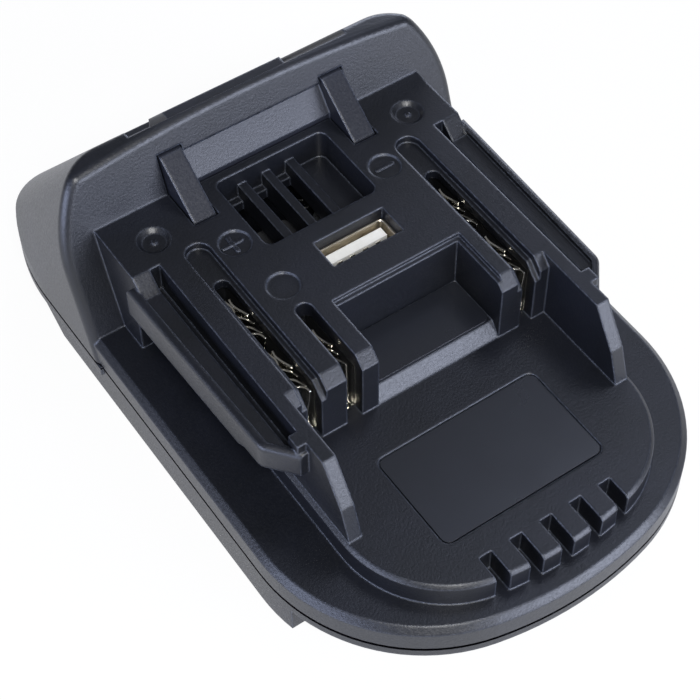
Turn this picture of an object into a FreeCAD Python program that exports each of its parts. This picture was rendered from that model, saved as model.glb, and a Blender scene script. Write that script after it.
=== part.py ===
import FreeCAD, Part
import math
import os
import re
import Sketcher
from FreeCAD import Placement, Rotation, Vector

# Slide battery adapter in millimetres. +Z is up, the rounded nose points to -Y, and the hood with the latch
# is at +Y. The origin is the middle of the footprint on the surface that the adapter rests on.

# Driving dimensions. Heights are above the resting surface, "half" is a half width from the middle plane,
# and "reach" or "front" is a distance from the origin toward the nose.
SIZES = {
    # shells
    "wall": 2.2,
    "skin": 2.0,
    "deck_skin": 3.2,
    "fit_gap": 0.1,
    "seam_height": 7.15,
    "lip_height": 5.3,
    # flange around the foot
    "flange_half": 37.8,
    "flange_reach": 60.5,
    "flange_top": 12.3,
    "flange_front_radius": 62.2,
    "flange_corner_radius": 30.3,
    "flange_edge": 1.1,
    # raised plateau on the flange
    "plateau_half": 27.5,
    "plateau_reach": 56.3,
    "plateau_top": 16.9,
    "plateau_front_radius": 63.5,
    "plateau_corner_radius": 18.8,
    "plateau_edge": 0.6,
    # five slots in the front of the plateau
    "nose_slot_count": 5,
    "nose_slot_pitch": 5.67,
    "nose_slot_width": 2.35,
    "nose_slot_inner": 50.6,
    # tower, deck and the wide block behind the rails
    "tower_half": 26.8,
    "tower_front": 19.3,
    "deck_height": 30.15,
    "block_half": 31.8,
    "block_front": 15.0,
    # side rails
    "rail_half": 33.2,
    "rail_taper": 0.9,
    "rail_front": 27.2,
    "rail_side_front": 22.3,
    "rail_bottom": 22.5,
    "rail_top": 28.4,
    "rail_lead_rise": 1.0,
    "rail_lead_length": 11.0,
    "rail_lead_slope": 1.8,
    "rail_rim": 1.5,
    "rail_shelf_depth": 0.9,
    "rail_shelf_width": 3.1,
    "rail_shelf_front": 25.4,
    "rail_shelf_side_front": 22.1,
    "rail_groove_depth": 3.9,
    "rail_ramp_length": 3.0,
    "rail_corner_radius": 2.6,
    "rail_edge_radius": 1.0,
    "ear_outer": 28.3,
    "ear_front": 26.6,
    "ear_back": 24.1,
    # guide fins in front of the tower
    "fin_inner": 24.45,
    "fin_flat_front": 30.8,
    "fin_slope_front": 35.5,
    "fin_slope_height": 23.0,
    "fin_foot_front": 37.6,
    # pocket with the vent ribs
    "vent_half": 10.7,
    "vent_front": 8.3,
    "vent_back": 24.7,
    "vent_depth": 5.7,
    "vent_corner_radius": 1.5,
    "vent_wall": 1.4,
    "vent_rib": 1.6,
    "vent_rib_pitch": 4.7,
    "vent_rib_height": 2.7,
    "vent_slot_count": 3,
    # front window with the second plate
    "window_left": 8.55,
    "window_right": 15.9,
    "window_back": 6.6,
    "window_step": 0.8,
    "window_floor": 19.5,
    "window_lip_front": 17.5,
    # contact slots
    "contact_middle": 20.5,
    "contact_recess_width": 4.4,
    "contact_recess_depth": 1.4,
    "contact_recess_back": 15.6,
    "contact_slot_width": 2.6,
    "contact_slot_back": 7.8,
    "sense_middle": 13.1,
    "sense_slot_width": 2.9,
    "sense_slot_back": 4.3,
    "finger_bevel": 2.0,
    # socket
    "socket_middle": 2.3,
    "socket_cut_width": 13.4,
    "socket_cut_depth": 5.9,
    "socket_cut_middle": 1.85,
    "socket_shell_width": 13.1,
    "socket_shell_depth": 5.7,
    "socket_shell_wall": 0.3,
    "socket_drop": 2.3,
    "tongue_width": 11.2,
    "tongue_thickness": 1.9,
    "tongue_drop": 0.9,
    "tongue_back_gap": 0.7,
    "tongue_base": 3.0,
    "usb_pin_count": 4,
    "usb_pin_pitch": 2.5,
    "usb_pin_width": 1.0,
    "usb_pin_thickness": 0.15,
    "usb_pin_end": 0.4,
    # hood
    "hood_half": 38.2,
    "hood_side_radius": 38.0,
    "hood_corner_radius": 9.0,
    "hood_side_length": 22.5,
    "hood_reach": 60.5,
    "hood_top": 41.5,
    "hood_crown_radius": 257.0,
    "hood_foot": 27.03,
    "hood_lean": 0.35,
    "hood_ridge_back": 32.87,
    "hood_slope_start": 10.8,
    "hood_edge_radius": 1.6,
    "scoop_half": 21.0,
    "scoop_depth": 0.95,
    # latch
    "latch_travel": 6.6,
    "latch_gap": 0.3,
    "arm_inner": 13.6,
    "arm_outer": 17.7,
    "arm_tip_y": 19.3,
    "arm_tip_height": 29.8,
    "arm_top_y": 28.9,
    "arm_top_height": 36.8,
    "arm_under": 24.0,
    "panel_foot_y": 26.6,
    "panel_foot_height": 31.0,
    "panel_top_y": 30.2,
    "panel_top_height": 35.6,
    "latch_back": 33.2,
    "latch_base_height": 20.0,
    "latch_base_thickness": 2.6,
    "latch_plate": 3.0,
    "button_half": 11.5,
    "button_proud": 1.3,
    "button_head": 5.0,
    "button_depth": 11.0,
    "button_height": 14.1,
    "button_opening_height": 12.1,
    "button_top_gap": 0.7,
    # latch springs
    "spring_middle": 10.0,
    "spring_y": 30.2,
    "spring_radius": 2.7,
    "spring_wire": 0.7,
    "spring_post_radius": 1.9,
    "spring_post_height": 3.0,
    # round moulding gates in the deck
    "gate_x": 24.9,
    "gate_y": 19.9,
    "gate_radius": 2.8,
    "gate_floor_radius": 2.0,
    "gate_depth": 0.7,
    "gate_nub_radius": 0.5,
    "gate_nub_height": 0.3,
    # three shallow round fields for marks in the deck
    "mark_radius": 2.7,
    "mark_depth": 0.35,
    "mark_x": 14.6,
    "mark_y": 12.0,
    "third_mark_x": -13.1,
    "third_mark_y": 0.3,
    # screws
    "screw_head_radius": 2.8,
    "screw_head_height": 1.0,
    "screw_radius": 1.5,
    "boss_radius": 3.3,
    "case_screw_length": 8.0,
    "nose_screw_x": 18.0,
    "nose_screw_front": 41.0,
    "back_screw_x": 24.0,
    "back_screw_y": 46.0,
    # plates
    "plate_half": 15.3,
    "plate_front": 46.3,
    "plate_back": 27.7,
    "plate_recess": 0.5,
    "plate_thickness": 0.4,
    "plate_corner_radius": 1.6,
    "plate_gap": 0.25,
    # battery dock underneath
    "skirt_front": 36.6,
    "skirt_back": 34.0,
    "skirt_back_rise": 7.0,
    "dock_half": 33.2,
    "dock_lip_half": 29.2,
    "dock_lip_height": 2.4,
    "dock_stop": 2.4,
    # circuit board and what stands on it
    "board_half": 23.4,
    "board_front": 17.0,
    "board_back": 24.0,
    "board_bottom": 12.2,
    "board_thickness": 1.6,
    "post_half": 1.6,
    "post_inset": 4.0,
    "inductor_side": 10.0,
    "inductor_height": 5.4,
    "inductor_x": -4.2,
    "inductor_y": 15.0,
    "inductor_corner": 1.4,
    "capacitor_radius": 3.15,
    "capacitor_height": 7.7,
    "input_capacitor_x": 5.2,
    "output_capacitor_x": 12.6,
    "capacitor_y": 14.0,
    "chip_width": 4.0,
    "chip_length": 5.0,
    "chip_height": 1.6,
    "chip_x": -7.8,
    "chip_y": 2.0,
    "diode_width": 4.4,
    "diode_length": 2.7,
    "diode_height": 2.2,
    "diode_x": -12.6,
    "diode_y": 6.0,
    "holder_wall": 1.2,
    "holder_floor": 1.4,
    "holder_width": 5.4,
    "holder_channel": 3.0,
    "leaf_thickness": 0.4,
    "leaf_length": 4.2,
    "leaf_pitch": 5.4,
    "leaf_count": 4,
    "sense_leaf_count": 2,
    "leaf_base": 0.8,
    "leaf_pinch": 0.3,
    "leaf_flare": 0.75,
    "leaf_drop": 2.9,
    # battery terminals
    "terminal_half": 16.0,
    "terminal_front": 30.0,
    "terminal_back": 20.0,
    "terminal_bottom": 0.9,
    "blade_x": 12.0,
    "sense_blade_x": 4.0,
    "blade_thickness": 0.8,
    "blade_bottom": 1.6,
    "blade_top": 4.6,
    "blade_tip": 4.0,
    "tail_front": 28.0,
    "tail_back": 25.0,
    "tail_top": 9.6,
    "strip_width": 4.0,
    "strip_thickness": 0.8,
    "strip_back": 13.0,
}

AXES = {"XY": Vector(0, 0, 1), "XZ": Vector(0, 1, 0), "YZ": Vector(1, 0, 0)}
TURNS = {"XY": Rotation(), "XZ": Rotation(Vector(1, 0, 0), 90), "YZ": Rotation(Vector(1, 1, 1), 120)}
LEVELS = {"XY": "z", "XZ": "y", "YZ": "x"}

# Sizes that follow from others
FOLLOWING = {
    "hood_slope": "=(hood_reach - hood_ridge_back) / (hood_top - hood_slope_start)",
}

doc = FreeCAD.newDocument("BatteryAdapter")
sheet = doc.addObject("Spreadsheet::Sheet", "Dims")
for row, (alias, content) in enumerate([*SIZES.items(), *FOLLOWING.items()], 1):
    sheet.set(f"A{row}", alias)
    sheet.set(f"B{row}", str(content))
    sheet.setAlias(f"B{row}", alias)
doc.recompute()


# An expression of sheet names, such as "tower_half - wall", in the form that setExpression reads
def expression(text):
    def full_name(word):
        return f"Dims.{word[0]}" if word[0] in SIZES or word[0] in FOLLOWING else word[0]

    return re.sub(r"[a-z]\w*", full_name, str(text))


# The number that such an expression has now
def value(text):
    return float(sheet.evalExpression(expression(text)))


def tie(thing, prop, text):
    thing.setExpression(prop, expression(text))


# Box between pairs of faces, each pair written (low, high)
def box(x, y, z):
    solid = doc.addObject("Part::Box", "Box")
    for prop, axis, (low, high) in zip(("Length", "Width", "Height"), "xyz", (x, y, z)):
        tie(solid, prop, f"({high}) - ({low})")
        tie(solid, f"Placement.Base.{axis}", low)
    return solid


# The same box on the left and on the right of the middle plane
def box_pair(x, y, z):
    low, high = x
    return [box(x, y, z), box((f"-({high})", f"-({low})"), y, z)]


# Upright cylinder
def cylinder(x, y, radius, z):
    solid = doc.addObject("Part::Cylinder", "Cylinder")
    tie(solid, "Radius", radius)
    tie(solid, "Height", f"({z[1]}) - ({z[0]})")
    for axis, text in zip("xyz", (x, y, z[0])):
        tie(solid, f"Placement.Base.{axis}", text)
    return solid


# Upright bar with a many-sided outline, for round things that nobody sees
def many_sided(x, y, radius, z):
    thing = doc.addObject("Part::Prism", "ManySided")
    thing.Polygon = 12
    tie(thing, "Circumradius", radius)
    tie(thing, "Height", f"({z[1]}) - ({z[0]})")
    for axis, text in zip("xyz", (x, y, z[0])):
        tie(thing, f"Placement.Base.{axis}", text)
    return thing


def combine(kind, shapes):
    result = doc.addObject(kind, kind.split("Multi")[-1])
    result.Shapes = shapes
    result.Refine = True
    return result


def fuse(shapes):
    return combine("Part::MultiFuse", shapes)


def common(shapes):
    return combine("Part::MultiCommon", shapes)


def cut(base, tools):
    result = doc.addObject("Part::Cut", "Cut")
    result.Base = base
    result.Tool = tools[0] if len(tools) == 1 else fuse(tools)
    result.Refine = True
    return result


def mirrored(thing):
    twin = doc.addObject("Part::Mirroring", "Twin")
    twin.Source = thing
    twin.Normal = Vector(1, 0, 0)
    return twin


# Straight outline through corners, each held to the origin by two dimensions
def draw_corners(drawing, corners):
    places = [Vector(value(across), value(up), 0) for across, up in corners]
    count = len(places)
    first = drawing.GeometryCount
    for i in range(count):
        drawing.addGeometry(Part.LineSegment(places[i], places[(i + 1) % count]), False)
    for i in range(count):
        drawing.addConstraint(Sketcher.Constraint("Coincident", first + i, 2, first + (i + 1) % count, 1))
    for i, corner in enumerate(corners):
        for kind, place, text in zip(("DistanceX", "DistanceY"), (places[i].x, places[i].y), corner):
            name = f"{kind}_{first + i}"
            number = drawing.addConstraint(Sketcher.Constraint(kind, -1, 1, first + i, 1, place))
            drawing.renameConstraint(number, name)
            tie(drawing, f"Constraints.{name}", text)


# Several such outlines in one sketch
def draw_loops(drawing, loops):
    for corners in loops:
        draw_corners(drawing, corners)


def arc(centre, radius, start, end):
    return Part.ArcOfCircle(Part.Circle(centre, Vector(0, 0, 1), radius), start, end)


# Draws a closed chain of lines and arcs that starts with one line across. "tangent" has the joints that are
# smooth, and "held" the named dimensions as (kind, element, point, expression).
def draw_chain(drawing, pieces, joints, tangent, uprights, levels, held):
    drawing.addGeometry(pieces, False)
    for first, first_end, second, second_end in joints:
        kind = "Tangent" if (first, second) in tangent else "Coincident"
        drawing.addConstraint(Sketcher.Constraint(kind, first, first_end, second, second_end))
    for i in uprights:
        drawing.addConstraint(Sketcher.Constraint("Vertical", i))
    for i in levels:
        drawing.addConstraint(Sketcher.Constraint("Horizontal", i))
    for kind, element, point, text in held:
        name = f"{kind}_{element}_{point}"
        if kind == "Radius":
            number = drawing.addConstraint(Sketcher.Constraint(kind, element, value(text)))
        else:
            number = drawing.addConstraint(Sketcher.Constraint(kind, -1, 1, element, point, value(text)))
        drawing.renameConstraint(number, name)
        tie(drawing, f"Constraints.{name}", text)


# Rounded nose: straight sides, a corner arc on each side and one wide arc across the front
def draw_nose(drawing, half, reach, front_radius, corner_radius, back):
    w, r, big, small, b = (value(text) for text in (half, reach, front_radius, corner_radius, back))
    front = Vector(0, big - r, 0)
    corner_y = front.y - math.sqrt((big - small) ** 2 - (w - small) ** 2)
    right, left = Vector(w - small, corner_y, 0), Vector(small - w, corner_y, 0)
    turn = math.atan2(corner_y - front.y, w - small)
    pieces = [
        Part.LineSegment(Vector(-w, b, 0), Vector(w, b, 0)),
        Part.LineSegment(Vector(w, b, 0), Vector(w, corner_y, 0)),
        arc(right, small, turn, 0),
        arc(front, big, math.pi - turn - 2 * math.pi, turn),
        arc(left, small, math.pi, math.pi - turn),
        Part.LineSegment(Vector(-w, corner_y, 0), Vector(-w, b, 0)),
    ]
    joints = [(0, 2, 1, 1), (1, 2, 2, 2), (2, 1, 3, 2), (3, 1, 4, 2), (4, 1, 5, 1), (5, 2, 0, 1)]
    held = [
        ("DistanceX", 1, 1, half),
        ("DistanceX", 5, 1, f"-({half})"),
        ("DistanceY", 0, 1, back),
        ("DistanceX", 3, 3, "0"),
        ("DistanceY", 3, 3, f"({front_radius}) - ({reach})"),
        ("Radius", 2, 0, corner_radius),
        ("Radius", 3, 0, front_radius),
        ("Radius", 4, 0, corner_radius),
    ]
    draw_chain(drawing, pieces, joints, [(1, 2), (2, 3), (3, 4), (4, 5)], [1, 5], [0], held)


# Plan of the hood: straight sides, a long side arc and a corner arc on each side and a straight back
def draw_hood(drawing, half, side_radius, corner_radius, side_length, back, front):
    w, big, small, length, b, f = (
        value(text) for text in (half, side_radius, corner_radius, side_length, back, front)
    )
    side_y = b - length
    rise = length - small
    run = math.sqrt((big - small) ** 2 - rise**2)
    turn = math.atan2(rise, run)
    side_right, side_left = Vector(w - big, side_y, 0), Vector(big - w, side_y, 0)
    corner_right, corner_left = side_right + Vector(run, rise, 0), side_left + Vector(-run, rise, 0)
    pieces = [
        Part.LineSegment(Vector(-w, f, 0), Vector(w, f, 0)),
        Part.LineSegment(Vector(w, f, 0), Vector(w, side_y, 0)),
        arc(side_right, big, 0, turn),
        arc(corner_right, small, turn, math.pi / 2),
        Part.LineSegment(Vector(corner_right.x, b, 0), Vector(corner_left.x, b, 0)),
        arc(corner_left, small, math.pi / 2, math.pi - turn),
        arc(side_left, big, math.pi - turn, math.pi),
        Part.LineSegment(Vector(-w, side_y, 0), Vector(-w, f, 0)),
    ]
    joints = [
        (0, 2, 1, 1),
        (1, 2, 2, 1),
        (2, 2, 3, 1),
        (3, 2, 4, 1),
        (4, 2, 5, 1),
        (5, 2, 6, 1),
        (6, 2, 7, 1),
        (7, 2, 0, 1),
    ]
    held = [
        ("DistanceX", 1, 1, half),
        ("DistanceX", 7, 1, f"-({half})"),
        ("DistanceY", 0, 1, front),
        ("DistanceY", 4, 1, back),
        ("DistanceY", 2, 3, f"({back}) - ({side_length})"),
        ("DistanceY", 6, 3, f"({back}) - ({side_length})"),
        ("Radius", 2, 0, side_radius),
        ("Radius", 3, 0, corner_radius),
        ("Radius", 5, 0, corner_radius),
        ("Radius", 6, 0, side_radius),
    ]
    smooth = [(1, 2), (2, 3), (3, 4), (4, 5), (5, 6), (6, 7)]
    draw_chain(drawing, pieces, joints, smooth, [1, 7], [0, 4], held)


# A sketch that lies on a plane of the document at a level, drawn by one of the functions above
def loose_sketch(plane, level, draw, *sizes):
    drawing = doc.addObject("Sketcher::SketchObject", "Outline")
    drawing.Placement = Placement(Vector(), TURNS[plane])
    tie(drawing, f"Placement.Base.{LEVELS[plane]}", level)
    draw(drawing, *sizes)
    return drawing


def extruded(drawing, direction, length):
    solid = doc.addObject("Part::Extrusion", "Prism")
    solid.Base = drawing
    solid.DirMode = "Custom"
    solid.Dir = direction
    solid.Solid = True
    tie(solid, "LengthFwd", length)
    return solid


# Prism of a straight-sided outline between two levels of its plane
def prism(plane, corners, low, high):
    drawing = loose_sketch(plane, low, draw_corners, corners)
    return extruded(drawing, AXES[plane], f"({high}) - ({low})")


def prism_pair(corners, low, high):
    return [prism("YZ", corners, low, high), prism("YZ", corners, f"-({high})", f"-({low})")]


def nose_slab(half, reach, front_radius, corner_radius, back, low, high):
    drawing = loose_sketch("XY", low, draw_nose, half, reach, front_radius, corner_radius, back)
    return extruded(drawing, AXES["XY"], f"({high}) - ({low})")


# Edges of a shape whose middle point passes a test, as numbers that Fillet and Chamfer read
def edge_numbers(shape, test):
    found = []
    for number, edge in enumerate(shape.Edges, 1):
        middle = edge.valueAt((edge.FirstParameter + edge.LastParameter) / 2)
        if test(middle, edge):
            found.append(number)
    return found


def edged(kind, base, size, test):
    doc.recompute()
    solid = doc.addObject(kind, "Edged")
    solid.Base = base
    solid.Edges = [(number, value(size), value(size)) for number in edge_numbers(base.Shape, test)]
    return solid


def rounded(base, radius, test):
    return edged("Part::Fillet", base, radius, test)


def chamfered(base, size, test):
    return edged("Part::Chamfer", base, size, test)


def near(a, b, slack=0.01):
    return abs(a - b) < slack


# Whether an edge runs straight up
def upright(middle, edge):
    if len(edge.Vertexes) != 2:
        return False
    low, high = (vertex.Point for vertex in edge.Vertexes)
    return near(low.x, high.x) and near(low.y, high.y)


def body(name):
    piece = doc.addObject("PartDesign::Body", name)
    piece.Label = name
    return piece


def body_plane(piece, plane):
    return next(item for item in piece.Origin.OriginFeatures if item.Role == f"{plane}_Plane")


def body_sketch(piece, plane, level, draw, *sizes):
    drawing = piece.newObject("Sketcher::SketchObject", f"{piece.Label}_outline")
    drawing.AttachmentSupport = [(body_plane(piece, plane), "")]
    drawing.MapMode = "FlatFace"
    tie(drawing, "AttachmentOffset.Base.z", level)
    draw(drawing, *sizes)
    return drawing


# One feature of a body: a pad or a pocket of a sketch, from a level of its plane up to another
def body_feature(piece, kind, plane, corners, low, high, draw=draw_corners):
    if plane == "XZ":
        low, high = f"-({high})", f"-({low})"
    level = high if kind == "Pocket" else low
    drawing = body_sketch(piece, plane, level, draw, corners)
    feature = piece.newObject(f"PartDesign::{kind}", f"{piece.Label}_{kind.lower()}")
    feature.Profile = drawing
    tie(feature, "Length", f"({high}) - ({low})")
    return feature


# A rectangle's corners from two pairs of sides
def rectangle(across, up):
    return [(across[0], up[0]), (across[1], up[0]), (across[1], up[1]), (across[0], up[1])]


# Face of the hood that looks at the deck: y at a height, and set back by the wall for the inside
def hood_front(height, inset="0"):
    return f"hood_foot + hood_lean * (({height}) - deck_height) + ({inset}) * sqrt(1 + hood_lean ^ 2)"


# Back slope of the hood: y at a height
def hood_back(height, inset="0"):
    plain = f"hood_reach - hood_slope * (({height}) - hood_slope_start)"
    return f"{plain} - ({inset}) * sqrt(1 + hood_slope ^ 2)"


# Plan of the hood's hollow: straight runs between points on the two arcs of each side, inset by the wall
def draw_hood_hollow(drawing, back):
    big, small = "(hood_side_radius - wall)", "(hood_corner_radius - wall)"
    rise = "(hood_side_length - hood_corner_radius)"
    turn = f"asin({rise} / (hood_side_radius - hood_corner_radius))"
    side_x, side_y = "hood_half - hood_side_radius", f"({back}) - hood_side_length + wall"
    corner_x = f"{side_x} + (hood_side_radius - hood_corner_radius) * cos({turn})"
    corner_y = f"({back}) - hood_corner_radius + wall"
    right = [("hood_half - wall", "block_front + wall"), ("hood_half - wall", side_y)]
    for share in ("0.5", "1"):
        angle = f"({share} * {turn})"
        right.append((f"{side_x} + {big} * cos{angle}", f"{side_y} + {big} * sin{angle}"))
    middle_angle = f"(0.5 * {turn} + 45 deg)"
    right.append((f"{corner_x} + {small} * cos{middle_angle}", f"{corner_y} + {small} * sin{middle_angle}"))
    right.append((corner_x, back))
    left = [(f"-({across})", along) for across, along in reversed(right)]
    draw_corners(drawing, right + left)


# Height of the button's top, where the hood's back slope lies behind the hook by the length of the head
def button_top():
    return "(hood_slope_start + (hood_reach - latch_back - button_head) / hood_slope)"


# The hood's mass, or its hollow when it is inset by the wall
def hood_form(inset):
    front = "block_front + wall"
    sizes = ["hood_half", "hood_side_radius", "hood_corner_radius", "hood_side_length"]

    def plan(level, back):
        if inset == "0":
            return loose_sketch("XY", level, draw_hood, *sizes, back, front)
        return loose_sketch("XY", level, draw_hood_hollow, back)

    foot_plan = plan("seam_height", f"hood_reach - ({inset})")
    foot = extruded(foot_plan, AXES["XY"], "hood_slope_start - seam_height")
    slope = plan("hood_slope_start", hood_back("hood_slope_start", inset))
    lean = Vector(0, -value("hood_slope"), 1)
    slope = extruded(slope, lean, "(hood_top - hood_slope_start) * sqrt(1 + hood_slope ^ 2)")
    crown = doc.addObject("Part::Cylinder", "Crown")
    crown.Placement.Rotation = Rotation(Vector(1, 0, 0), -90)
    tie(crown, "Radius", f"hood_crown_radius - ({inset})")
    tie(crown, "Height", "2 * hood_reach")
    tie(crown, "Placement.Base.z", "hood_top - hood_crown_radius")
    low, high = "seam_height - 1", "hood_top + 1"
    front_waste = prism(
        "YZ",
        [
            (f"-({front})", low),
            (hood_front(low, inset), low),
            (hood_front(high, inset), high),
            (f"-({front})", high),
        ],
        "-hood_half - 1",
        "hood_half + 1",
    )
    return cut(common([fuse([foot, slope]), crown]), [front_waste])


# The outer form again with the edges of its front face and of its crown rounded
def hood():
    form = hood_form("0")

    def edge_of_face_or_crown(middle, edge):
        face_y = value("hood_foot") + value("hood_lean") * (middle.z - value("deck_height"))
        on_face = near(middle.y, face_y) and middle.z > value("seam_height") + 0.01
        reach = math.hypot(middle.x, value("hood_crown_radius - hood_top") + middle.z)
        return on_face or near(reach, value("hood_crown_radius"))

    return rounded(form, "hood_edge_radius", edge_of_face_or_crown)


# Foot, tower and rails

def flange():
    slab = nose_slab(
        "flange_half",
        "flange_reach",
        "flange_front_radius",
        "flange_corner_radius",
        "hood_foot",
        "seam_height",
        "flange_top",
    )

    def top_edge(middle, edge):
        return near(middle.z, value("flange_top")) and middle.y < value("hood_foot") - 0.1

    return chamfered(slab, "flange_edge", top_edge)


def plateau():
    slab = nose_slab(
        "plateau_half",
        "plateau_reach",
        "plateau_front_radius",
        "plateau_corner_radius",
        "0",
        "flange_top",
        "plateau_top",
    )

    def top_edge(middle, edge):
        return near(middle.z, value("plateau_top")) and middle.y < -0.1

    return chamfered(slab, "plateau_edge", top_edge)


# Bar beside the tower. On top it has a rim, a sunk shelf with a ramp up to the block, and a deep groove with
# a round near end. Its near end is rounded, with a raised lead below.
def rail():
    inside = "tower_half - wall"
    back = "block_front + wall"
    plan = [
        (inside, back),
        (inside, "-rail_front"),
        ("ear_outer", "-rail_front"),
        ("rail_half - rail_taper", "-rail_side_front"),
        ("rail_half", "block_front"),
        ("block_half - wall", "block_front"),
        ("block_half - wall", back),
    ]
    bar = prism("XY", plan, "rail_bottom", "rail_top")

    def side_corner(middle, edge):
        return upright(middle, edge) and near(middle.x, value("rail_half - rail_taper"))

    def outer_rim(middle, edge):
        on_end = middle.x > value("ear_outer") + 0.1 and middle.y < value("block_front")
        return near(middle.z, value("rail_top")) and on_end

    bar = rounded(rounded(bar, "rail_corner_radius", side_corner), "rail_edge_radius", outer_rim)
    lead_back = "rail_lead_length - rail_front"
    lead = prism(
        "YZ",
        [
            ("-rail_front - 1", "rail_bottom - 1"),
            (lead_back, "rail_bottom - 1"),
            (lead_back, "rail_bottom"),
            (f"{lead_back} - rail_lead_slope", "rail_bottom + rail_lead_rise"),
            ("-rail_front - 1", "rail_bottom + rail_lead_rise"),
        ],
        f"{inside} - 1",
        "rail_half + 1",
    )
    rim = "rail_half - rail_rim"
    shelf_plan = [
        ("tower_half", "block_front"),
        ("tower_half", "-rail_shelf_front"),
        ("ear_outer", "-rail_shelf_front"),
        (f"{rim} - rail_taper", "-rail_shelf_side_front"),
        (rim, "block_front"),
    ]
    shelf = prism("XY", shelf_plan, "rail_top - rail_shelf_depth", "rail_top + 1")

    def shelf_corner(middle, edge):
        return upright(middle, edge) and near(middle.x, value(f"{rim} - rail_taper"))

    shelf = rounded(shelf, "rail_corner_radius - rail_edge_radius", shelf_corner)
    shelf_edge = f"{rim} - rail_shelf_width"
    groove_radius = f"({shelf_edge} - tower_half) / 2"
    groove_end = f"{groove_radius} - ear_back"
    depth = ("rail_top - rail_groove_depth", "rail_top + 1")
    groove = box(("tower_half", shelf_edge), (groove_end, "block_front"), depth)
    round_end = cylinder(f"tower_half + {groove_radius}", groove_end, groove_radius, depth)
    shelf_top = "rail_top - rail_shelf_depth"
    ramp = prism(
        "YZ",
        [
            (back, shelf_top),
            ("block_front - rail_ramp_length", shelf_top),
            ("block_front", "deck_height"),
            (back, "deck_height"),
        ],
        shelf_edge,
        "block_half",
    )
    ear_heights = ("rail_bottom + rail_lead_rise", "deck_height")
    ear = box((inside, "ear_outer"), ("-ear_front", "-ear_back"), ear_heights)
    return fuse([cut(bar, [lead, groove, round_end, shelf]), ear, ramp])


def fins():
    side = [
        ("wall - tower_front", "plateau_top - skin"),
        ("wall - tower_front", "deck_height"),
        ("-fin_flat_front", "deck_height"),
        ("-fin_slope_front", "fin_slope_height"),
        ("-fin_foot_front", "plateau_top"),
        ("-fin_foot_front", "plateau_top - skin"),
    ]
    return prism_pair(side, "fin_inner", "tower_half")


def outer_form():
    tower = box(("-tower_half", "tower_half"), ("-tower_front", "hood_foot"), ("flange_top", "deck_height"))
    block = box(("-block_half", "block_half"), ("block_front", "hood_foot"), ("flange_top", "deck_height"))
    rail_right = rail()
    return fuse([flange(), plateau(), tower, block, rail_right, mirrored(rail_right), hood()] + fins())


# Hollows of the upper shell

def hollows():
    flange_hollow = nose_slab(
        "flange_half - wall",
        "flange_reach - wall",
        "flange_front_radius - wall",
        "flange_corner_radius - wall",
        "hood_foot",
        "seam_height - 1",
        "flange_top - skin",
    )
    plateau_hollow = nose_slab(
        "plateau_half - wall",
        "nose_slot_inner - wall",
        "plateau_front_radius - wall",
        "plateau_corner_radius - wall",
        "hood_foot",
        "seam_height - 1",
        "plateau_top - skin",
    )
    roof = "deck_height - deck_skin"
    back = hood_front(roof, "wall")
    tower_hollow = box(
        ("wall - tower_half", "tower_half - wall"), ("wall - window_back", back), ("seam_height", roof)
    )
    block_hollow = box(
        ("wall - block_half", "block_half - wall"), ("block_front + wall", back), ("seam_height", roof)
    )
    chambers = []
    for middle in ("contact_middle", "-contact_middle", "-sense_middle"):
        side = "(holder_width / 2 + fit_gap)"
        across = (f"{middle} - {side}", f"{middle} + {side}")
        chambers.append(box(across, ("wall - tower_front", "0"), ("seam_height", roof)))
    vent_box = box(
        ("-vent_half - vent_wall", "vent_half + vent_wall"),
        ("vent_front - vent_wall", "vent_back + vent_wall"),
        ("deck_height - vent_depth - skin", "deck_height"),
    )
    bosses = [many_sided(x, y, "boss_radius", ("seam_height", "hood_top")) for x, y in case_screw_places()]
    guides = box_pair(
        ("arm_outer + latch_gap", "arm_outer + latch_gap + wall"),
        (hood_front("deck_height - deck_skin"), "latch_back"),
        ("board_bottom", "arm_top_height"),
    )
    hollow = fuse([flange_hollow, plateau_hollow, tower_hollow, block_hollow, hood_form("wall")] + chambers)
    return cut(hollow, [vent_box] + bosses + guides)


# What is cut into the deck and the tower

def vent_cuts():
    floor = "deck_height - vent_depth"
    pocket = box(("-vent_half", "vent_half"), ("vent_front", "vent_back"), (floor, "deck_height + 1"))
    pocket = rounded(pocket, "vent_corner_radius", upright)
    ribs = []
    slots = []
    for i in range(int(value("vent_slot_count"))):
        left = f"vent_wall - vent_half + {i} * vent_rib_pitch"
        rib = (f"{left} + vent_rib_pitch - vent_rib", f"{left} + vent_rib_pitch")
        ribs.append(box(rib, ("vent_front", "vent_back"), (f"{floor} - 1", f"{floor} + vent_rib_height")))
        along = ("vent_front + vent_wall", "vent_back - vent_wall")
        slots.append(box((left, rib[0]), along, (f"{floor} - skin - 1", floor)))
    return [cut(pocket, ribs)] + slots


def window_cuts():
    wall_back = "-window_back - window_step"
    rebate = box(
        ("-window_left", "window_right"),
        ("-tower_front", "-window_back"),
        ("deck_height - window_step", "deck_height + 1"),
    )
    opening = prism(
        "YZ",
        [
            (wall_back, "deck_height + 1"),
            (wall_back, "window_floor"),
            ("-window_lip_front", "window_floor"),
            ("-tower_front", "plateau_top"),
            ("-tower_front - 1", "plateau_top"),
            ("-tower_front - 1", "deck_height + 1"),
        ],
        "-window_left",
        "window_right - window_step",
    )
    return [rebate, opening]


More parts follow.
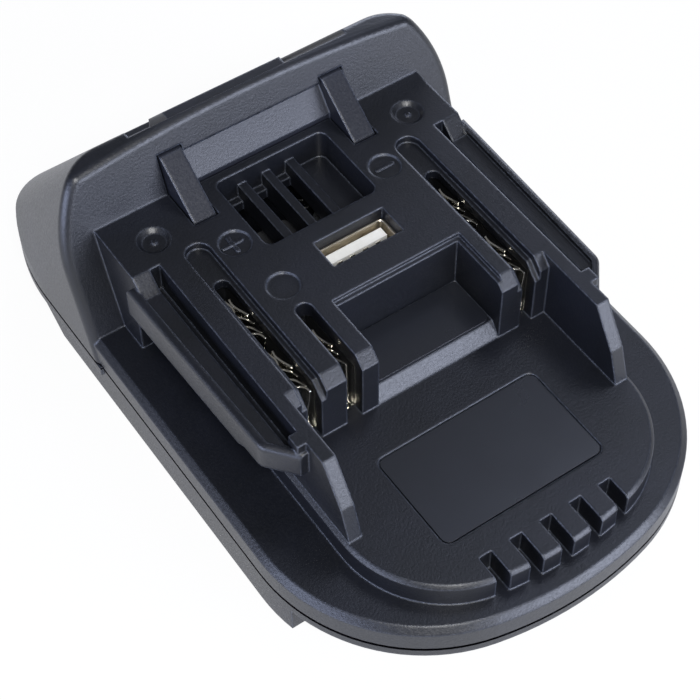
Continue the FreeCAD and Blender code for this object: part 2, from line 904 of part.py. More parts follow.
# Slot in a wider recess, whose floor follows the deck and then the bevel of the bars
def contact_cuts(middle):
    side = "contact_recess_width / 2"
    back = f"contact_recess_back - {side}"
    floor = "deck_height - contact_recess_depth"
    bend = "finger_bevel - tower_front + contact_recess_depth * tan(22.5 deg)"
    front = "-tower_front - 1"
    recess = [
        (front, "deck_height + 1"),
        (back, "deck_height + 1"),
        (back, floor),
        (bend, floor),
        (front, f"{floor} - ({bend}) + ({front})"),
    ]
    slot_side = "contact_slot_width / 2"
    through = ("plateau_top", "deck_height + 1")
    slot_back = f"contact_slot_back - {slot_side}"
    return [
        prism("YZ", recess, f"{middle} - {side}", f"{middle} + {side}"),
        cylinder(middle, back, side, (floor, "deck_height + 1")),
        box((f"{middle} - {slot_side}", f"{middle} + {slot_side}"), (front, slot_back), through),
        cylinder(middle, slot_back, slot_side, through),
    ]


def sense_cuts():
    side = "sense_slot_width / 2"
    back = f"-sense_slot_back - {side}"
    through = ("plateau_top", "deck_height + 1")
    return [
        box((f"-sense_middle - {side}", f"-sense_middle + {side}"), ("-tower_front - 1", back), through),
        cylinder("-sense_middle", back, side, through),
    ]


# The front ends of the bars between the slots slope down at the top
def finger_bevel():
    return prism(
        "YZ",
        [
            ("-tower_front - 1", "deck_height + 1"),
            ("finger_bevel - tower_front", "deck_height + 1"),
            ("finger_bevel - tower_front", "deck_height"),
            ("-tower_front", "deck_height - finger_bevel"),
            ("-tower_front - 1", "deck_height - finger_bevel"),
        ],
        "-fin_inner",
        "fin_inner",
    )


def nose_slots():
    slots = []
    count = int(value("nose_slot_count"))
    for i in range(count):
        middle = f"({i} - (nose_slot_count - 1) / 2) * nose_slot_pitch"
        slots.append(
            box(
                (f"{middle} - nose_slot_width / 2", f"{middle} + nose_slot_width / 2"),
                ("-plateau_reach - 1", "-nose_slot_inner"),
                ("flange_top", "plateau_top + 1"),
            )
        )
    return slots


def latch_cuts():
    gap = "latch_gap"
    panel = box(
        (f"-arm_inner - {gap}", f"arm_inner + {gap}"),
        (f"panel_foot_y - {gap}", "latch_back + wall"),
        ("deck_height - deck_skin - 1", f"panel_top_height + {gap}"),
    )
    arms = box_pair(
        (f"arm_inner - {gap}", f"arm_outer + {gap}"),
        (f"arm_tip_y - {gap} * 2", "latch_back + wall"),
        ("deck_height - deck_skin - 1", f"arm_top_height + {gap}"),
    )
    lift = f"{button_top()} + button_top_gap"
    low = f"{lift} - button_top_gap - button_opening_height"
    opening = prism(
        "YZ",
        [
            ("latch_back", low),
            (f"{hood_back(low)} + wall", low),
            (f"{hood_back(lift)} + wall", lift),
            ("latch_back", lift),
        ],
        f"-button_half - {gap} * 2",
        f"button_half + {gap} * 2",
    )
    return [panel, opening] + arms


def scoop():
    low, high = "hood_slope_start + 4", "hood_top + 1"
    return prism(
        "YZ",
        [
            (hood_back(low, "scoop_depth"), low),
            (f"{hood_back(low)} + wall", low),
            (f"{hood_back(high)} + wall", high),
            (hood_back(high, "scoop_depth"), high),
        ],
        "-scoop_half",
        "scoop_half",
    )


def plate_recess():
    recess = box(
        ("-plate_half", "plate_half"),
        ("-plate_front", "-plate_back"),
        ("plateau_top - plate_recess", "plateau_top + 1"),
    )
    return rounded(recess, "plate_corner_radius", upright)


# Round dish with a nub where the plastic entered the mould
def gate_recess(x):
    floor = "deck_height - gate_depth"
    dish = doc.addObject("Part::Cone", "Dish")
    tie(dish, "Radius1", "gate_floor_radius")
    tie(dish, "Radius2", "gate_radius")
    tie(dish, "Height", "gate_depth")
    for axis, text in zip("xyz", (x, "gate_y", floor)):
        tie(dish, f"Placement.Base.{axis}", text)
    nub_heights = (f"{floor} - 1", f"{floor} + gate_nub_height")
    return cut(dish, [cylinder(x, "gate_y", "gate_nub_radius", nub_heights)])


def case_screw_places():
    nose = [("nose_screw_x", "-nose_screw_front"), ("-nose_screw_x", "-nose_screw_front")]
    back = [("back_screw_x", "back_screw_y"), ("-back_screw_x", "back_screw_y")]
    return nose + back


def upper_shell():
    solid = cut(outer_form(), [hollows(), scoop()])
    socket = box(
        ("socket_middle - socket_cut_width / 2", "socket_middle + socket_cut_width / 2"),
        ("socket_cut_middle - socket_cut_depth / 2", "socket_cut_middle + socket_cut_depth / 2"),
        ("deck_height - deck_skin - 1", "deck_height + 1"),
    )
    tools = vent_cuts() + window_cuts() + [socket, finger_bevel(), plate_recess()]
    for middle in ("contact_middle", "-contact_middle"):
        tools += contact_cuts(middle)
    tools += sense_cuts() + nose_slots() + latch_cuts()
    tools += [gate_recess("gate_x"), gate_recess("-gate_x")]
    for x, y in (("mark_x", "mark_y"), ("-mark_x", "mark_y"), ("third_mark_x", "third_mark_y")):
        tools.append(cylinder(x, y, "mark_radius", ("deck_height - mark_depth", "deck_height + 1")))
    bore_heights = ("seam_height", "lip_height + case_screw_length + fit_gap")
    for x, y in case_screw_places():
        tools.append(many_sided(x, y, "screw_radius + fit_gap", bore_heights))
    return cut(solid, tools)


# Base under the seam, with the battery dock between its skirts

def lower_shell():
    sizes = ("flange_half", "flange_reach", "flange_front_radius", "flange_corner_radius")
    rim = nose_slab(*sizes, "hood_foot", "lip_height", "seam_height")
    hood_sizes = ("hood_half", "hood_side_radius", "hood_corner_radius", "hood_side_length", "hood_reach")
    plan = loose_sketch("XY", "lip_height", draw_hood, *hood_sizes, hood_front("seam_height"))
    back = extruded(plan, AXES["XY"], "seam_height - lip_height")
    rise = "skirt_back + skirt_back_rise"
    side = [
        ("-skirt_front", "lip_height"),
        ("-skirt_front", "0"),
        ("skirt_back", "0"),
        (rise, "lip_height"),
    ]
    stop = box(
        ("-dock_half", "dock_half"), ("-skirt_front", "dock_stop - skirt_front"), ("0", "lip_height")
    )
    skirts = fuse(prism_pair(side, "dock_lip_half", "flange_half") + [stop])
    plan_limit = nose_slab(*sizes, f"{rise} + 1", "0", "lip_height")
    groove = box_pair(
        ("dock_lip_half - 1", "dock_half"),
        ("dock_stop - skirt_front", f"{rise} + 1"),
        ("dock_lip_height", "lip_height"),
    )
    solid = cut(fuse([rim, back, common([skirts, plan_limit])]), groove)
    posts = []
    for y in ("post_inset - board_front", "board_back - post_inset"):
        posts += box_pair(
            ("board_half - post_inset - post_half", "board_half - post_inset + post_half"),
            (f"{y} - post_half", f"{y} + post_half"),
            ("seam_height - 0.5", "board_bottom"),
        )
    post_heights = ("seam_height - 0.5", "seam_height + spring_post_height")
    for x in ("spring_middle", "-spring_middle"):
        posts.append(cylinder(x, "spring_y", "spring_post_radius", post_heights))
    holes = []
    sink_heights = ("lip_height - 1", "lip_height + screw_head_height")
    for x, y in case_screw_places():
        holes.append(cylinder(x, y, "screw_head_radius + fit_gap", sink_heights))
        holes.append(many_sided(x, y, "screw_radius + fit_gap", ("lip_height", "seam_height + 1")))
    for x, y in (("blade_x", "0"), ("-blade_x", "0"), ("-sense_blade_x", "0")):
        holes.append(
            box(
                (f"{x} - blade_thickness / 2 - fit_gap", f"{x} + blade_thickness / 2 + fit_gap"),
                ("-tail_front - fit_gap", "fit_gap - tail_back"),
                ("lip_height - 1", "seam_height + 1"),
            )
        )
    return cut(fuse([solid] + posts), holes)


# Latch: the hook with its two arms and panel, and the button that pushes it down

def latch_hook():
    piece = body("latch_hook")
    base_front = "panel_foot_y + latch_gap * 2"
    base_top = "latch_base_height + latch_base_thickness"
    plate_front = "latch_back - latch_plate"
    panel_under = "panel_foot_height - latch_plate"
    middle = [
        ("panel_foot_y", "panel_foot_height"),
        ("panel_top_y", "panel_top_height"),
        ("latch_back", "panel_top_height"),
        ("latch_back", "latch_base_height"),
        (base_front, "latch_base_height"),
        (base_front, base_top),
        (plate_front, base_top),
        (plate_front, panel_under),
        ("panel_foot_y", panel_under),
    ]
    arm = [
        ("arm_tip_y", "arm_tip_height"),
        ("arm_top_y", "arm_top_height"),
        ("latch_back", "arm_top_height"),
        ("latch_back", "latch_base_height"),
        (base_front, "latch_base_height"),
        (base_front, "arm_under"),
        ("arm_tip_y", "arm_under"),
    ]
    body_feature(piece, "Pad", "YZ", middle, "-arm_inner", "arm_inner")
    body_feature(piece, "Pad", "YZ", arm, "arm_inner", "arm_outer")
    body_feature(piece, "Pad", "YZ", arm, "-arm_outer", "-arm_inner")
    return piece


def release_button():
    piece = body("release_button")
    sunk = "scoop_depth - button_proud"
    face = "latch_back + button_depth"
    kink = f"hood_slope_start + (hood_reach - ({face}) - ({sunk}) * sqrt(1 + hood_slope ^ 2)) / hood_slope"
    low = f"{button_top()} - button_height"
    side = [
        ("latch_back", low),
        (face, low),
        (face, kink),
        (hood_back(button_top(), sunk), button_top()),
        ("latch_back", button_top()),
    ]
    body_feature(piece, "Pad", "YZ", side, "-button_half", "button_half")
    return piece


def latch_spring(x):
    outer = "spring_radius + spring_wire / 2"
    inner = "spring_radius - spring_wire / 2"
    height = ("seam_height", "latch_base_height")
    return cut(many_sided(x, "spring_y", outer, height), [many_sided(x, "spring_y", inner, height)])


# Leaf contacts in the slots and the moulded channels that hold them

def leaf_contact(name, middle, front, back, count):
    piece = body(name)
    base = "board_bottom + board_thickness + holder_floor"
    top = "deck_height - leaf_drop"
    pinch = f"{top} - 2.4 * leaf_flare - leaf_thickness"
    bend = f"{base} + leaf_base + 3 * leaf_thickness"
    side = "(holder_channel / 2 - fit_gap)"
    body_feature(
        piece, "Pad", "XY", rectangle((f"{middle} - {side}", f"{middle} + {side}"), (front, back)), base,
        f"{base} + leaf_base"
    )
    loops = []
    for sign in ("1", "-1"):
        outline = [
            (side, base),
            (side, bend),
            ("leaf_pinch + leaf_thickness", pinch),
            ("leaf_flare + leaf_thickness", top),
            ("leaf_flare", top),
            ("leaf_pinch", pinch),
            (f"{side} - leaf_thickness", bend),
            (f"{side} - leaf_thickness", base),
        ]
        loops.append([(f"{middle} + {sign} * ({across})", up) for across, up in outline])
    leaf = body_feature(piece, "Pad", "XZ", loops, front, f"{front} + leaf_length", draw_loops)
    doc.recompute()
    pattern = piece.newObject("PartDesign::LinearPattern", f"{name}_row")
    pattern.Originals = [leaf]
    pattern.Direction = (next(item for item in piece.Origin.OriginFeatures if item.Role == "Y_Axis"), [""])
    tie(pattern, "Length", f"leaf_pitch * ({count} - 1)")
    tie(pattern, "Occurrences", count)
    piece.Tip = pattern
    return piece


def contact_holder(middle, back):
    side = "holder_width / 2"
    front = "wall - tower_front + fit_gap"
    low, top = "board_bottom + board_thickness", "deck_height - deck_skin - fit_gap"
    block = box((f"{middle} - {side}", f"{middle} + {side}"), (front, back), (low, top))
    channel = box(
        (f"{middle} - holder_channel / 2", f"{middle} + holder_channel / 2"),
        (f"{front} - 1", f"{back} - holder_wall"),
        (f"{low} + holder_floor", f"{top} + 1"),
    )
    return cut(block, [channel])


# Socket: metal shell, white tongue on its base and four gold strips

def socket_parts():
    low, top = "board_bottom + board_thickness", "deck_height - socket_drop"
    left, right = "socket_middle - socket_shell_width / 2", "socket_middle + socket_shell_width / 2"
    front = "socket_cut_middle - socket_shell_depth / 2"
    back = "socket_cut_middle + socket_shell_depth / 2"
    thin = "socket_shell_wall"
    outer = box((left, right), (front, back), (low, top))
    inner = box(
        (f"{left} + {thin}", f"{right} - {thin}"),
        (f"{front} + {thin}", f"{back} - {thin}"),
        (f"{low} - 1", f"{top} + 1"),
    )
    shell = cut(outer, [inner])
    tongue_back = f"{back} - {thin} - tongue_back_gap"
    tongue_front = f"{tongue_back} - tongue_thickness"
    tongue = body("usb_tongue")
    body_feature(
        tongue,
        "Pad",
        "XY",
        rectangle((f"{left} + {thin}", f"{right} - {thin}"), (f"{front} + {thin}", f"{back} - {thin}")),
        low,
        f"{low} + tongue_base",
    )
    body_feature(
        tongue,
        "Pad",
        "XY",
        rectangle(
            ("socket_middle - tongue_width / 2", "socket_middle + tongue_width / 2"),
            (tongue_front, tongue_back),
        ),
        f"{low} + tongue_base",
        f"{top} - tongue_drop",
    )
    strips = doc.addObject("Part::Compound", "Strips")
    links = []
    for i in range(int(value("usb_pin_count"))):
        middle = f"socket_middle + ({i} - (usb_pin_count - 1) / 2) * usb_pin_pitch"
        links.append(
            box(
                (f"{middle} - usb_pin_width / 2", f"{middle} + usb_pin_width / 2"),
                (f"{tongue_front} - usb_pin_thickness", tongue_front),
                (f"{low} + tongue_base", f"{top} - tongue_drop - usb_pin_end"),
            )
        )
    strips.Links = links
    return {"usb_shell": shell, "usb_tongue": tongue, "usb_contacts": strips}


# Circuit board and the converter's parts on it
def board_parts():
    low, top = "board_bottom", "board_bottom + board_thickness"

    def on_board(middle_x, middle_y, width, length, height):
        across = (f"{middle_x} - {width} / 2", f"{middle_x} + {width} / 2")
        along = (f"{middle_y} - {length} / 2", f"{middle_y} + {length} / 2")
        return box(across, along, (top, f"{top} + {height}"))

    coil = on_board("inductor_x", "inductor_y", "inductor_side", "inductor_side", "inductor_height")
    height = (top, f"{top} + capacitor_height")
    return {
        "circuit_board": box(("-board_half", "board_half"), ("-board_front", "board_back"), (low, top)),
        "power_inductor": chamfered(coil, "inductor_corner", upright),
        "input_capacitor": cylinder("input_capacitor_x", "capacitor_y", "capacitor_radius", height),
        "output_capacitor": cylinder("output_capacitor_x", "capacitor_y", "capacitor_radius", height),
        "converter_chip": on_board("chip_x", "chip_y", "chip_width", "chip_length", "chip_height"),
        "rectifier_diode": on_board("diode_x", "diode_y", "diode_width", "diode_length", "diode_height"),
    }


# Blades that reach into the battery, the block that holds them and the strips up to the board

def terminal_parts():
    block = box(
        ("-terminal_half", "terminal_half"),
        ("-terminal_front", "-terminal_back"),
        ("terminal_bottom", "lip_height"),
    )
    cuts = []
    parts = {}
    for name, x in (("positive", "-blade_x"), ("negative", "blade_x"), ("sense", "-sense_blade_x")):
        low, high = f"{x} - blade_thickness / 2", f"{x} + blade_thickness / 2"
        outline = [
            ("-tail_front", "blade_bottom"),
            ("-blade_tip", "blade_bottom"),
            ("-blade_tip", "blade_top"),
            ("-tail_back", "blade_top"),
            ("-tail_back", "tail_top"),
            ("-tail_front", "tail_top"),
        ]
        blade = body(f"{name}_blade")
        body_feature(blade, "Pad", "YZ", outline, low, high)
        parts[f"{name}_blade"] = blade
        gap = "fit_gap"
        cuts.append(
            box(
                (f"{low} - {gap}", f"{high} + {gap}"),
                (f"-tail_front - {gap}", "-terminal_back + 1"),
                (f"blade_bottom - {gap}", f"blade_top + {gap}"),
            )
        )
        cuts.append(
            box(
                (f"{low} - {gap}", f"{high} + {gap}"),
                (f"-tail_front - {gap}", f"{gap} - tail_back"),
                ("blade_bottom", "lip_height + 1"),
            )
        )
        strip_top = "board_bottom"
        strip = [
            ("-tail_back", "tail_top - strip_thickness"),
            ("-strip_back", "tail_top - strip_thickness"),
            ("-strip_back", strip_top),
            ("-strip_back - strip_thickness", strip_top),
            ("-strip_back - strip_thickness", "tail_top"),
            ("-tail_back", "tail_top"),
        ]
        strap = body(f"{name}_strip")
        body_feature(strap, "Pad", "YZ", strip, f"{x} - strip_width / 2", f"{x} + strip_width / 2")
        parts[f"{name}_strip"] = strap
    parts["battery_terminal_block"] = cut(block, cuts)
    return parts


# Plates, screws

def plate(name, across, along, floor):
    piece = body(name)
    pad = body_feature(piece, "Pad", "XY", rectangle(across, along), floor, f"{floor} + plate_thickness")
    doc.recompute()
    fillet = piece.newObject("PartDesign::Fillet", f"{name}_corners")
    fillet.Base = (pad, [f"Edge{number}" for number in edge_numbers(pad.Shape, upright)])
    tie(fillet, "Radius", "plate_corner_radius - plate_gap")
    return piece


def screws(places, head, shank):
    group = doc.addObject("Part::Compound", "Screws")
    group.Links = [
        fuse([cylinder(x, y, "screw_head_radius", head), many_sided(x, y, "screw_radius", shank)])
        for x, y in places
    ]
    return group


pieces = {
    "upper_shell": upper_shell(),
    "lower_shell": lower_shell(),
    "latch_hook": latch_hook(),
    "release_button": release_button(),
    "latch_spring_left": latch_spring("-spring_middle"),
    "latch_spring_right": latch_spring("spring_middle"),
}
contact_front = "wall - tower_front + 2 * fit_gap"
contact_back = "contact_slot_back + wall - 2 * fit_gap"
sense_back = "wall - sense_slot_back"
for name, middle, back, count in (
    ("positive", "-contact_middle", contact_back, "leaf_count"),
    ("negative", "contact_middle", contact_back, "leaf_count"),
    ("sense", "-sense_middle", sense_back, "sense_leaf_count"),
):
    pieces[f"{name}_holder"] = contact_holder(middle, back)
    pieces[f"{name}_contact"] = leaf_contact(
        f"{name}_contact", middle, contact_front, f"{back} - holder_wall - fit_gap", count
    )
pieces.update(socket_parts())
pieces.update(board_parts())
pieces.update(terminal_parts())
pieces["label_plate"] = plate(
    "label_plate",
    ("plate_gap - plate_half", "plate_half - plate_gap"),
    ("plate_gap - plate_front", "-plate_back - plate_gap"),
    "plateau_top - plate_recess",
)
pieces["usb_label_plate"] = plate(
    "usb_label_plate",
    ("plate_gap - window_left", "window_right - window_step - plate_gap"),
    ("plate_gap - window_lip_front", "-window_back - window_step - plate_gap"),
    "window_floor",
)
pieces["case_screws"] = screws(
    case_screw_places(),
    ("lip_height", "lip_height + screw_head_height"),
    ("lip_height + screw_head_height", "lip_height + case_screw_length"),
)
doc.recompute()

faults = [item.Name for item in doc.Objects if "Invalid" in item.State or "Error" in item.State]
for name, piece in pieces.items():
    piece.Label = name
    if piece.Shape.isNull() or not piece.Shape.isValid():
        faults.append(name)
if faults:
    raise RuntimeError("failed objects: " + ", ".join(faults))
os.makedirs("parts", exist_ok=True)
for name, piece in pieces.items():
    piece.Shape.exportStep(f"parts/{name}.step")
    print(name, len(piece.Shape.Solids), round(piece.Shape.Volume, 1))
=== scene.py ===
import math

import bmesh
import bpy
import numpy as np
from mathutils import Matrix, Vector


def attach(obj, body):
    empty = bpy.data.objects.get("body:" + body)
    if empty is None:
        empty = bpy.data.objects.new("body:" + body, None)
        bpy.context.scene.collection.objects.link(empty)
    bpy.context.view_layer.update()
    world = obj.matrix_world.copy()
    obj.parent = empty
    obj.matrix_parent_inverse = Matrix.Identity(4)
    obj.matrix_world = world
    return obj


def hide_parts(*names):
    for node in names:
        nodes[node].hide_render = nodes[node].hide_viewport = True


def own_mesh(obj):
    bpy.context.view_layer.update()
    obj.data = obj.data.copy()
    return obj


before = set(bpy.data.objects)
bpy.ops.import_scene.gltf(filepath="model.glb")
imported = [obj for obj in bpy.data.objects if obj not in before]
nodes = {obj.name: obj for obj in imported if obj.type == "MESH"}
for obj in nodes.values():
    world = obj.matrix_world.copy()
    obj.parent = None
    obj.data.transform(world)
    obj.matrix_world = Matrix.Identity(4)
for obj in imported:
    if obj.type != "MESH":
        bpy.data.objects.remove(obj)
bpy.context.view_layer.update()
mm = 0.001


# Camera, worked out from the straight edges of the deck, the plate recess and the nose slots
cameraView = {
    "azimuth": -34.150,      # degrees from looking along +Y
    "elevation": 52.528,
    "roll": -0.585,
    "target": (-6.09 * mm, -7.76 * mm, 16.92 * mm),
    "distance": 294.1 * mm,
    "lens": 93.943,          # mm, for the sensor's width
    "sensor": 36.0,
    "clip": (0.01, 20.0),    # m
}


# Back is the direction from the target to the camera, and right and up are turned about it by the roll
def placeCamera(view):
    azimuth, elevation, roll = (math.radians(view[k]) for k in ("azimuth", "elevation", "roll"))
    back = Vector((
        math.sin(azimuth) * math.cos(elevation),
        -math.cos(azimuth) * math.cos(elevation),
        math.sin(elevation),
    ))
    right = Vector((math.cos(azimuth), math.sin(azimuth), 0.0))
    up = back.cross(right)
    tiltedRight = right * math.cos(roll) + up * math.sin(roll)
    tiltedUp = up * math.cos(roll) - right * math.sin(roll)
    data = bpy.data.cameras.new("photoCamera")
    data.lens = view["lens"]
    data.sensor_width = view["sensor"]
    data.clip_start, data.clip_end = view["clip"]
    camera = bpy.data.objects.new("photoCamera", data)
    turned = Matrix((tiltedRight, tiltedUp, back)).transposed().to_4x4()
    camera.matrix_world = Matrix.Translation(Vector(view["target"]) + back * view["distance"]) @ turned
    bpy.context.scene.collection.objects.link(camera)
    bpy.context.scene.camera = camera


placeCamera(cameraView)
print("camera placed")


# Materials

# sRGB hex to linear, with the alpha that a colour socket takes
def hexColour(text):
    parts = [int(text[i:i + 2], 16) / 255 for i in (0, 2, 4)]
    return [p / 12.92 if p <= 0.04045 else ((p + 0.055) / 1.055) ** 2.4 for p in parts] + [1.0]


# A setting goes on a property or an unlinked socket, and a link is another node's socket. In both, in2
# stands for the third socket, and _ for a blank. A Mix node takes its two colours at in6 and in7, and gives
# the mixed one at outputs[2].
def addNode(tree, kind, settings=None, **links):
    node = tree.nodes.new(kind)

    def socket(name):
        if name[:2] == "in" and name[2:].isdigit():
            return node.inputs[int(name[2:])]
        return node.inputs[name.replace("_", " ")]

    for name, setting in (settings or {}).items():
        if hasattr(node, name):
            setattr(node, name, setting)
        else:
            socket(name).default_value = setting
    for name, source in links.items():
        tree.links.new(source, socket(name))
    return node


def newMaterial(name):
    made = bpy.data.materials.new(name)
    made.use_nodes = True
    made.node_tree.nodes.clear()
    return made, made.node_tree


def finishMaterial(tree, surface):
    addNode(tree, "ShaderNodeOutputMaterial", Surface=surface)


# The source, stretched from low..high to lowValue..highValue in a straight line and held at its ends
def stretched(tree, source, low, high, lowValue, highValue):
    ranged = addNode(
        tree, "ShaderNodeMapRange",
        {"From Min": low, "From Max": high, "To Min": lowValue, "To Max": highValue, "clamp": True},
        Value=source,
    )
    return ranged.outputs["Result"]


# Where most of a noise's values lie, for the shade of spots, for the breaks in the painted edge highlight and
# for gloss
noiseSpan = {"shade": (0.35, 0.65), "breaks": (0.35, 0.7), "gloss": (0.3, 0.7)}


# Glass-filled nylon as it comes from a spark-eroded mould: a dull charcoal with a fine even grain, a faint
# cloudiness from the flow of the melt, and edges that are rounded by the tool and catch the light
mouldedNylon = {
    "grain": 0.42,           # mm, spark texture, coarser than real so that it shows
    "cloud": 14.0,           # mm, flow marks
    "edge": 0.6,             # mm, rounding of the edges
    "highlightReach": 0.5,             # mm, reach of the painted highlight along edges
    "paintedHighlight": (0.995, 0.72),    # cosine of the turn at an edge, where the painted highlight starts and where it is full
    "highlightLeast": 0.25,        # share of the painted highlight that is left in the grain's hollows
    "sheen": 0.05,           # roughness that the grain adds and takes away
    "polish": -0.08,         # roughness that the painted edge highlight adds
    "refraction": 1.53,      # index of nylon
    "seamHeight": 7.15,      # mm, where the two shells meet
    "seamHalf": 0.34,        # mm, half the painted shade line that stands for the shadowed gap between them
    "seamShadeColour": "040405",
    "wallTilt": 0.5,         # a face whose normal rises or falls more than this is no wall
}


# Colour: cloudy from dark to pale, and a painted highlight in the paler edge colour where a rounded normal
# differs from the flat one. The line between the shells is painted shade for the shadowed gap: a dark band of
# height, on walls alone. Colours are sRGB hex, and grainHeight is in mm.
def makeMoulded(name, dark, pale, edgeHighlightColour, roughness, grainHeight, seam=False, shape=mouldedNylon):
    made, tree = newMaterial(name)
    place = addNode(tree, "ShaderNodeTexCoord").outputs["Object"]
    cloud = addNode(
        tree, "ShaderNodeTexNoise", {"Scale": 1 / (shape["cloud"] * mm), "Detail": 4.0, "Roughness": 0.55},
        Vector=place,
    ).outputs["Fac"]
    grain = addNode(
        tree, "ShaderNodeTexNoise", {"Scale": 1 / (shape["grain"] * mm), "Detail": 2.0, "Roughness": 0.6},
        Vector=place,
    ).outputs["Fac"]
    rounded = addNode(tree, "ShaderNodeBevel", {"samples": 6, "Radius": shape["edge"] * mm}).outputs["Normal"]
    soft = addNode(tree, "ShaderNodeBevel", {"samples": 6, "Radius": shape["highlightReach"] * mm}).outputs["Normal"]
    flat = addNode(tree, "ShaderNodeNewGeometry").outputs["True Normal"]
    # painted highlight: where the softly rounded normal turns away from the flat one, the colour is mixed
    # toward the paler edge colour, broken up by the grain
    facing = addNode(
        tree, "ShaderNodeVectorMath", {"operation": "DOT_PRODUCT"}, in0=soft, in1=flat
    ).outputs["Value"]
    paintedHighlight = stretched(tree, facing, *shape["paintedHighlight"], 0.0, 1.0)
    brokenHighlight = addNode(
        tree, "ShaderNodeMath", {"operation": "MULTIPLY"}, in0=paintedHighlight,
        in1=stretched(tree, grain, *noiseSpan["breaks"], shape["highlightLeast"], 1.0),
    ).outputs["Value"]
    body = addNode(
        tree, "ShaderNodeMix", {"data_type": "RGBA", "in6": hexColour(dark), "in7": hexColour(pale)},
        in0=stretched(tree, cloud, *noiseSpan["shade"], 0.0, 1.0),
    )
    highlighted = addNode(
        tree, "ShaderNodeMix", {"data_type": "RGBA", "in7": hexColour(edgeHighlightColour)},
        in0=brokenHighlight, in6=body.outputs[2],
    )
    bump = addNode(
        tree, "ShaderNodeBump", {"Strength": 1.0, "Distance": grainHeight * mm}, Height=grain, Normal=rounded
    ).outputs["Normal"]
    sheen = (roughness - shape["sheen"], roughness + shape["sheen"])
    rough = addNode(
        tree, "ShaderNodeMath", {"operation": "ADD"},
        in0=stretched(tree, grain, *noiseSpan["gloss"], *sheen),
        in1=stretched(tree, brokenHighlight, 0.0, 1.0, 0.0, shape["polish"]),
    ).outputs["Value"]
    shader = addNode(
        tree, "ShaderNodeBsdfPrincipled", {"IOR": shape["refraction"]},
        Base_Color=highlighted.outputs[2], Roughness=rough, Normal=bump,
    )
    surface = shader.outputs["BSDF"]
    # painted shade: a near-black diffuse band, on walls, at the height where the shells meet, stands in for
    # the shadow in the gap between them
    if seam:
        height = addNode(tree, "ShaderNodeSeparateXYZ", in0=place).outputs["Z"]
        band = addNode(
            tree, "ShaderNodeMath",
            {"operation": "COMPARE", "in1": shape["seamHeight"] * mm, "in2": shape["seamHalf"] * mm},
            in0=height,
        ).outputs["Value"]
        # the level ledge beside the hood lies at the same height and takes no line
        tilt = addNode(tree, "ShaderNodeSeparateXYZ", in0=flat).outputs["Z"]
        wall = addNode(
            tree, "ShaderNodeMath", {"operation": "COMPARE", "in1": 0.0, "in2": shape["wallTilt"]}, in0=tilt
        ).outputs["Value"]
        line = addNode(tree, "ShaderNodeMath", {"operation": "MULTIPLY"}, in0=band, in1=wall).outputs["Value"]
        gapShade = addNode(tree, "ShaderNodeBsdfDiffuse", {"Color": hexColour(shape["seamShadeColour"])})
        surface = addNode(
            tree, "ShaderNodeMixShader", in0=line, in1=surface, in2=gapShade.outputs["BSDF"]
        ).outputs["Shader"]
    finishMaterial(tree, surface)
    return made


metalSheen = (-0.06, 0.08)   # roughness that the lines add


# Plated or drawn metal: the lines of its making are a noise that is stretched along one axis. Tarnish is the
# size of its soft spots, lines the size of the lines along x, y and z, depth their relief and edge the
# rounding of the edges, all in mm.
def makeMetal(name, pale, dark, roughness, tarnish, lines, depth, edge=0.08):
    made, tree = newMaterial(name)
    place = addNode(tree, "ShaderNodeTexCoord").outputs["Object"]
    scale = [1 / (size * mm) for size in lines]
    drawn = addNode(tree, "ShaderNodeMapping", {"Scale": scale}, Vector=place).outputs["Vector"]
    streak = addNode(tree, "ShaderNodeTexNoise", {"Scale": 1.0, "Detail": 3.0}, Vector=drawn).outputs["Fac"]
    spots = addNode(
        tree, "ShaderNodeTexNoise", {"Scale": 1 / (tarnish * mm), "Detail": 4.0}, Vector=place
    ).outputs["Fac"]
    colour = addNode(
        tree, "ShaderNodeMix", {"data_type": "RGBA", "in6": hexColour(pale), "in7": hexColour(dark)},
        in0=stretched(tree, spots, *noiseSpan["breaks"], 0.0, 1.0),
    )
    rounded = addNode(tree, "ShaderNodeBevel", {"samples": 4, "Radius": edge * mm}).outputs["Normal"]
    bump = addNode(
        tree, "ShaderNodeBump", {"Strength": 1.0, "Distance": depth * mm}, Height=streak, Normal=rounded
    ).outputs["Normal"]
    sheen = (roughness + metalSheen[0], roughness + metalSheen[1])
    shader = addNode(
        tree, "ShaderNodeBsdfPrincipled", {"Metallic": 1.0},
        Base_Color=colour.outputs[2], Normal=bump,
        Roughness=stretched(tree, streak, *noiseSpan["gloss"], *sheen),
    )
    finishMaterial(tree, shader.outputs["BSDF"])
    return made


plainSheen = 0.04            # roughness that the spots add and take away
coatRoughness = 0.12


